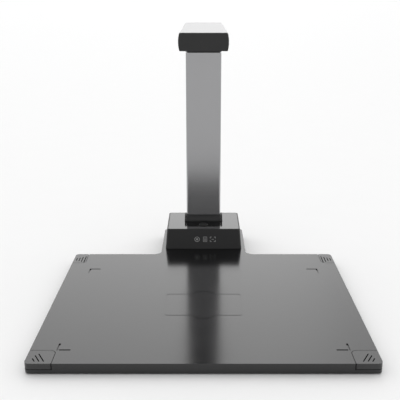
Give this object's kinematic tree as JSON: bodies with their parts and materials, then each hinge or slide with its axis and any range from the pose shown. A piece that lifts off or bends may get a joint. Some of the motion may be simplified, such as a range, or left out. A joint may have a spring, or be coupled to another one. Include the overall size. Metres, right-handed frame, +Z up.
{
  "type": "document camera",
  "caption": "Desktop document camera: a page-marked T-shaped board, a hinge block with a button, an upright flat column and a level arm with a downward camera.",
  "frame": {"origin": "on the desk plane, under the middle of the object's box", "axes": "+Z up, -Y towards the person at the board, +X to their right; both hinge axes run along X"},
  "size_m": [0.351, 0.39, 0.3184],
  "materials": {
    "board_plastic": "moulded black plastic with a low sheen that mirrors what stands on it",
    "black_plastic": "fine matte black moulded plastic",
    "gloss_black": "polished black panel",
    "gunmetal": "grey anodised aluminium, satin",
    "steel": "plated steel",
    "base_bracket_paint": "gloss black coated steel",
    "arm_bracket_paint": "satin black coated steel",
    "rubber": "black rubber",
    "pad_plastic": "semi-gloss black plastic with finger grooves",
    "circuit_board": "green solder mask over glass laminate",
    "chip": "black moulded component body",
    "lens_glass": "coated optical glass",
    "diffuser": "opal lamp diffuser",
    "ribbon_cable": "flat ribbon cable"
  },
  "bodies": {
    "base": {"base_bottom_cover": "black_plastic", "base_friction_washer_left": "steel", "base_friction_washer_right": "steel", "base_hinge_bracket": "base_bracket_paint", "base_hinge_pin_left": "steel", "base_hinge_pin_right": "steel", "base_screw_front_left": "steel", "base_screw_front_right": "steel", "base_screw_rear_left": "steel", "base_screw_rear_right": "steel", "base_steel_plate": "steel", "base_top_cover": "board_plastic", "block_housing": "black_plastic", "block_top_panel": "gloss_black", "bracket_screw_left": "steel", "bracket_screw_right": "steel", "button_switch": "chip", "foot_front_left": "rubber", "foot_front_right": "rubber", "foot_rear_left": "rubber", "foot_rear_right": "rubber", "front_pad_left": "pad_plastic", "front_pad_right": "pad_plastic", "main_board": "circuit_board", "main_processor": "chip", "port_board": "circuit_board", "rear_pad_left": "pad_plastic", "rear_pad_right": "pad_plastic", "usb_port": "steel"},
    "button": {"capture_button": "black_plastic"},
    "column": {"column_cable": "ribbon_cable", "column_foot": "black_plastic", "column_foot_screw_left": "steel", "column_foot_screw_right": "steel", "column_head": "black_plastic", "column_head_screw_left": "steel", "column_head_screw_right": "steel", "column_tube": "gunmetal"},
    "arm": {"arm_bottom_cover": "black_plastic", "arm_cable": "ribbon_cable", "arm_friction_washer_left": "steel", "arm_friction_washer_right": "steel", "arm_front_cap": "black_plastic", "arm_hinge_bracket": "arm_bracket_paint", "arm_hinge_pin_left": "steel", "arm_hinge_pin_right": "steel", "arm_rear_cap": "black_plastic", "arm_screw_front_left": "steel", "arm_screw_front_right": "steel", "arm_screw_rear_left": "steel", "arm_screw_rear_right": "steel", "arm_top_cover": "gunmetal", "camera_board": "circuit_board", "front_lens": "lens_glass", "image_sensor": "chip", "led_board": "circuit_board", "led_diffuser": "diffuser", "lens_barrel": "chip", "lens_holder": "black_plastic", "lens_window": "lens_glass"}
  },
  "joints": [
    {"name": "button_press", "type": "slide", "parent": "base", "child": "button", "axis": [0, 0, -1], "range_m": [0, 0.001], "stiffness_N_per_m": 500, "springref_m": -0.001},
    {"name": "column_tilt", "type": "hinge", "parent": "base", "child": "column", "pos_m": [0, 0.1579, 0.0405], "axis": [1, 0, 0], "range_deg": [-15, 15]},
    {"name": "arm_fold", "type": "hinge", "parent": "column", "child": "arm", "pos_m": [0, 0.1579, 0.2902], "axis": [-1, 0, 0], "range_deg": [-90, 90]}
  ]
}
